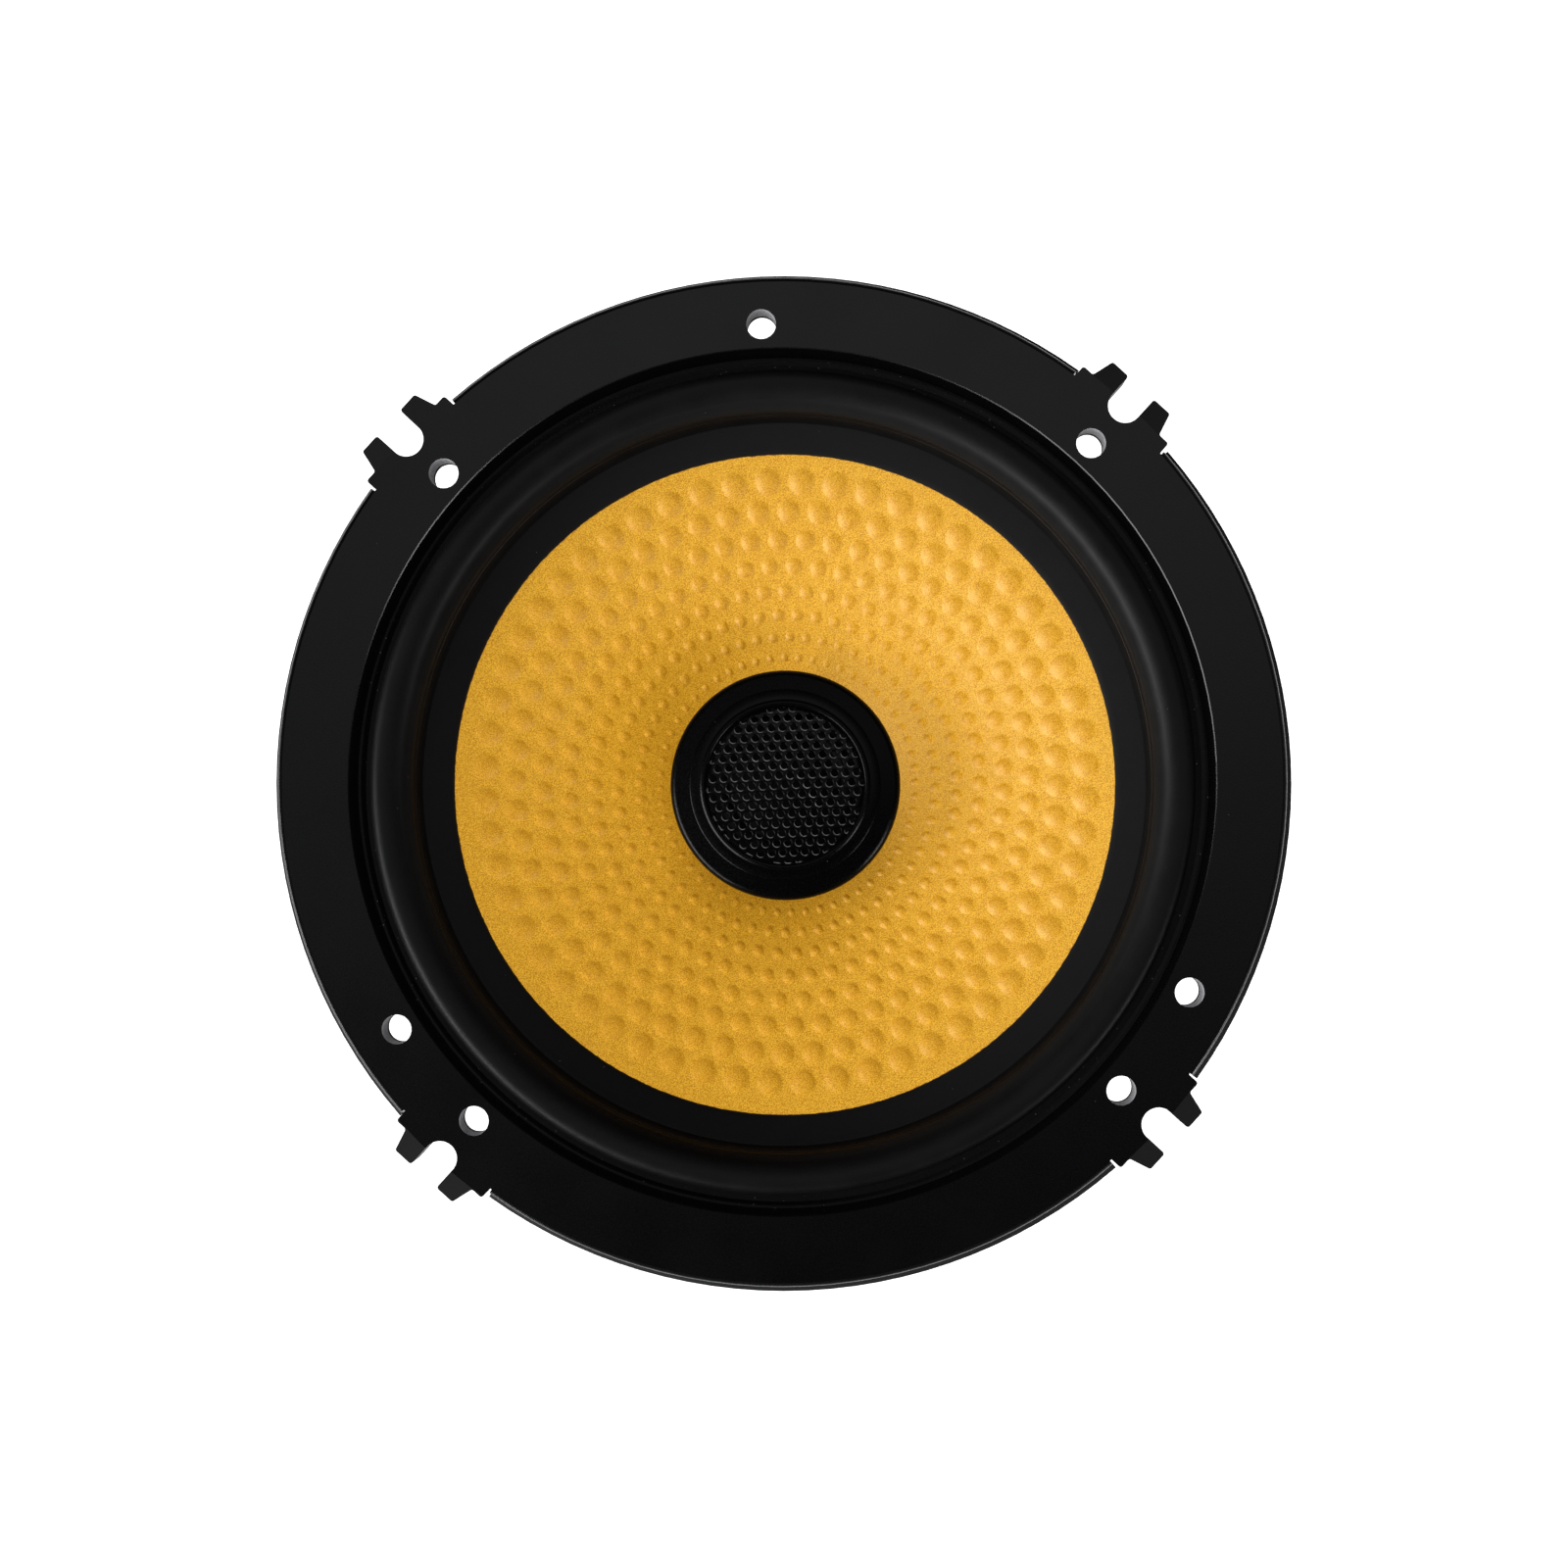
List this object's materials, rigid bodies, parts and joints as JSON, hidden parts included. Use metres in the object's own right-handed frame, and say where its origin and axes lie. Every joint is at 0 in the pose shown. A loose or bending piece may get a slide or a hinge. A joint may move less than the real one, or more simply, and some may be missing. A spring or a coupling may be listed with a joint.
{
  "type": "coaxial car speaker",
  "caption": "Round coaxial car speaker: cast basket with forked ears, dimpled yellow cone, rubber surround, post-mounted dome tweeter and magnet motor behind.",
  "frame": {"origin": "on the speaker's axis, in the plane where its rim and rear gasket meet the panel", "axes": "+Z along the axis towards the listener, +Y up with the single top screw hole, terminals at -Y"},
  "size_m": [0.165, 0.165, 0.0693],
  "materials": {
    "basket_paint": "satin black paint on cast aluminium",
    "gasket_foam": "black closed-cell foam",
    "surround_rubber": "matt black butyl rubber",
    "spider_cloth": "resin-stiffened woven cotton",
    "plated_steel": "zinc-plated steel",
    "plate_steel": "black-passivated steel",
    "ferrite": "ground ferrite",
    "boot_rubber": "moulded black rubber",
    "post_aluminium": "black anodised aluminium",
    "tweeter_plastic": "gloss black moulded plastic",
    "grille_paint": "semi-gloss black painted steel mesh",
    "dome_silk": "coated black silk",
    "neodymium": "nickel-plated neodymium",
    "wire_insulation": "black wire insulation",
    "fibre_board": "brown phenolic board",
    "tinned_brass": "tin-plated brass",
    "capacitor_sleeve": "blue shrink sleeve",
    "tinned_copper": "tinned copper",
    "tinsel_braid": "copper tinsel braid",
    "cone_yellow": "satin golden-yellow coated pulp composite",
    "former_aluminium": "thin rolled aluminium",
    "copper_winding": "enamelled copper wire"
  },
  "bodies": {
    "basket": {"basket": "basket_paint", "rear_gasket": "gasket_foam", "surround": "surround_rubber", "spider": "spider_cloth", "basket_rivets": "plated_steel", "top_plate": "plate_steel", "magnet_ring": "ferrite", "yoke": "plate_steel", "magnet_boot": "boot_rubber", "tweeter_post": "post_aluminium", "tweeter_post_washer": "plated_steel", "tweeter_post_nut": "plated_steel", "tweeter_housing_nut": "plated_steel", "tweeter_housing": "tweeter_plastic", "tweeter_bezel": "tweeter_plastic", "tweeter_grille": "grille_paint", "tweeter_diaphragm_ring": "tweeter_plastic", "tweeter_dome_surround": "dome_silk", "tweeter_cup": "plated_steel", "tweeter_magnet": "neodymium", "tweeter_pole_plate": "plated_steel", "tweeter_wires": "wire_insulation", "terminal_board": "fibre_board", "terminal_board_screws": "plated_steel", "terminal_positive": "tinned_brass", "terminal_negative": "tinned_brass", "terminal_rivets": "tinned_brass", "crossover_capacitor": "capacitor_sleeve", "capacitor_leads": "tinned_copper", "tinsel_lead_positive": "tinsel_braid", "tinsel_lead_negative": "tinsel_braid"},
    "cone": {"cone": "cone_yellow", "voice_coil_former": "former_aluminium", "voice_coil_winding": "copper_winding"},
    "tweeter_diaphragm": {"tweeter_dome": "dome_silk", "tweeter_voice_coil": "copper_winding"}
  },
  "joints": [
    {"name": "cone_excursion", "type": "slide", "parent": "basket", "child": "cone", "axis": [0, 0, 1], "range_m": [-0.004, 0.004], "stiffness_N_per_m": 1500, "deforming": ["surround", "spider", "tinsel_lead_positive", "tinsel_lead_negative"]},
    {"name": "tweeter_dome_excursion", "type": "slide", "parent": "basket", "child": "tweeter_diaphragm", "axis": [0, 0, 1], "range_m": [-0.0003, 0.0003], "stiffness_N_per_m": 150, "deforming": ["tweeter_dome_surround"]}
  ]
}
